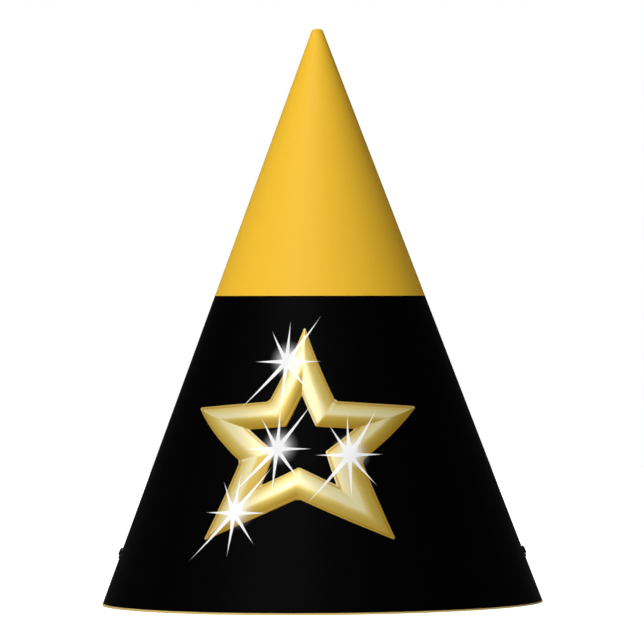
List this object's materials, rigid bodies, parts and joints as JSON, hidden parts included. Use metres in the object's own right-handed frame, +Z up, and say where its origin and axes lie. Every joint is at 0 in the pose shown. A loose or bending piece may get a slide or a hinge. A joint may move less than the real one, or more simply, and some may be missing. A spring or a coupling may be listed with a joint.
{
  "type": "party hat",
  "caption": "Cone party hat in rolled card, gold above and black below, with a raised gold star on its front and a black chin elastic tucked inside.",
  "frame": {"origin": "centre of the rim, on the surface that the hat stands on", "axes": "+Z up along the cone's axis to the tip; the front, with the star, faces -Y, and the seam is at +Y; the elastic's holes are at +X and -X"},
  "size_m": [0.1346, 0.1352, 0.1753],
  "materials": {
    "white_card": "matte uncoated card",
    "gold_print": "matte printed card",
    "black_print": "matte printed card",
    "rim_print": "matte printed card",
    "gold_foil": "satin metallic foil",
    "clear_tape": "glossy film",
    "black_elastic": "matte braided cover"
  },
  "bodies": {
    "root": {"card_cone": "white_card", "gold_print": "gold_print", "black_print": "black_print", "rim_print": "rim_print", "star_emblem": "gold_foil", "seam_tape": "clear_tape", "elastic_cord": "black_elastic", "knot_right": "black_elastic", "knot_left": "black_elastic"}
  },
  "joints": []
}
